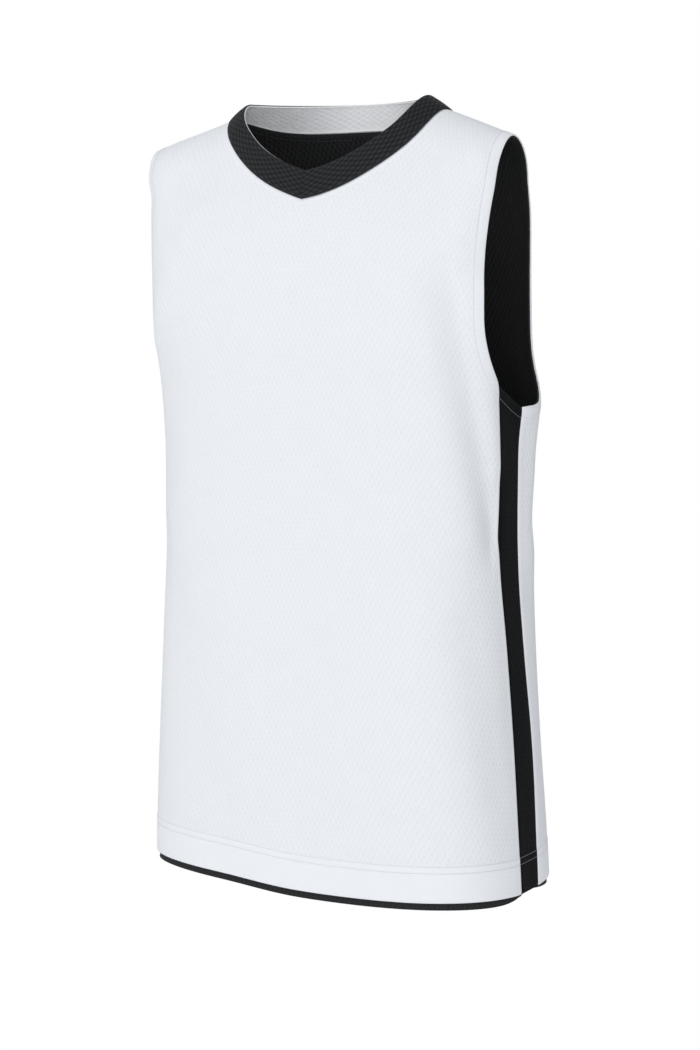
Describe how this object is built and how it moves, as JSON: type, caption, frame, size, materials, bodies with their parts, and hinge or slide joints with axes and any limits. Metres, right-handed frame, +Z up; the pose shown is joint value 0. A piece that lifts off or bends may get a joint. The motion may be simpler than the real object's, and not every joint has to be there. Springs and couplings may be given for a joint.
{
  "type": "basketball jersey",
  "caption": "Sleeveless reversible mesh jersey with a V neck, side inserts and layered cloth, filled out as if worn.",
  "frame": {"origin": "middle of the shoulder line, where the wearer's shoulders hold the jersey up", "axes": "+Z up, -Y the way the front faces, +X towards the wearer's left side"},
  "size_m": [0.36, 0.1838, 0.6855],
  "materials": {
    "white_mesh": "matte knitted mesh",
    "black_mesh": "matte knitted mesh",
    "black_rib": "matte flat knit",
    "white_band": "matte knitted mesh"
  },
  "bodies": {
    "root": {"front_outer": "white_mesh", "back_outer": "white_mesh", "front_inner": "black_mesh", "back_inner": "black_mesh", "side_insert_left": "black_mesh", "side_insert_right": "black_mesh", "collar_outer": "black_rib", "collar_inner": "white_band"}
  },
  "joints": []
}
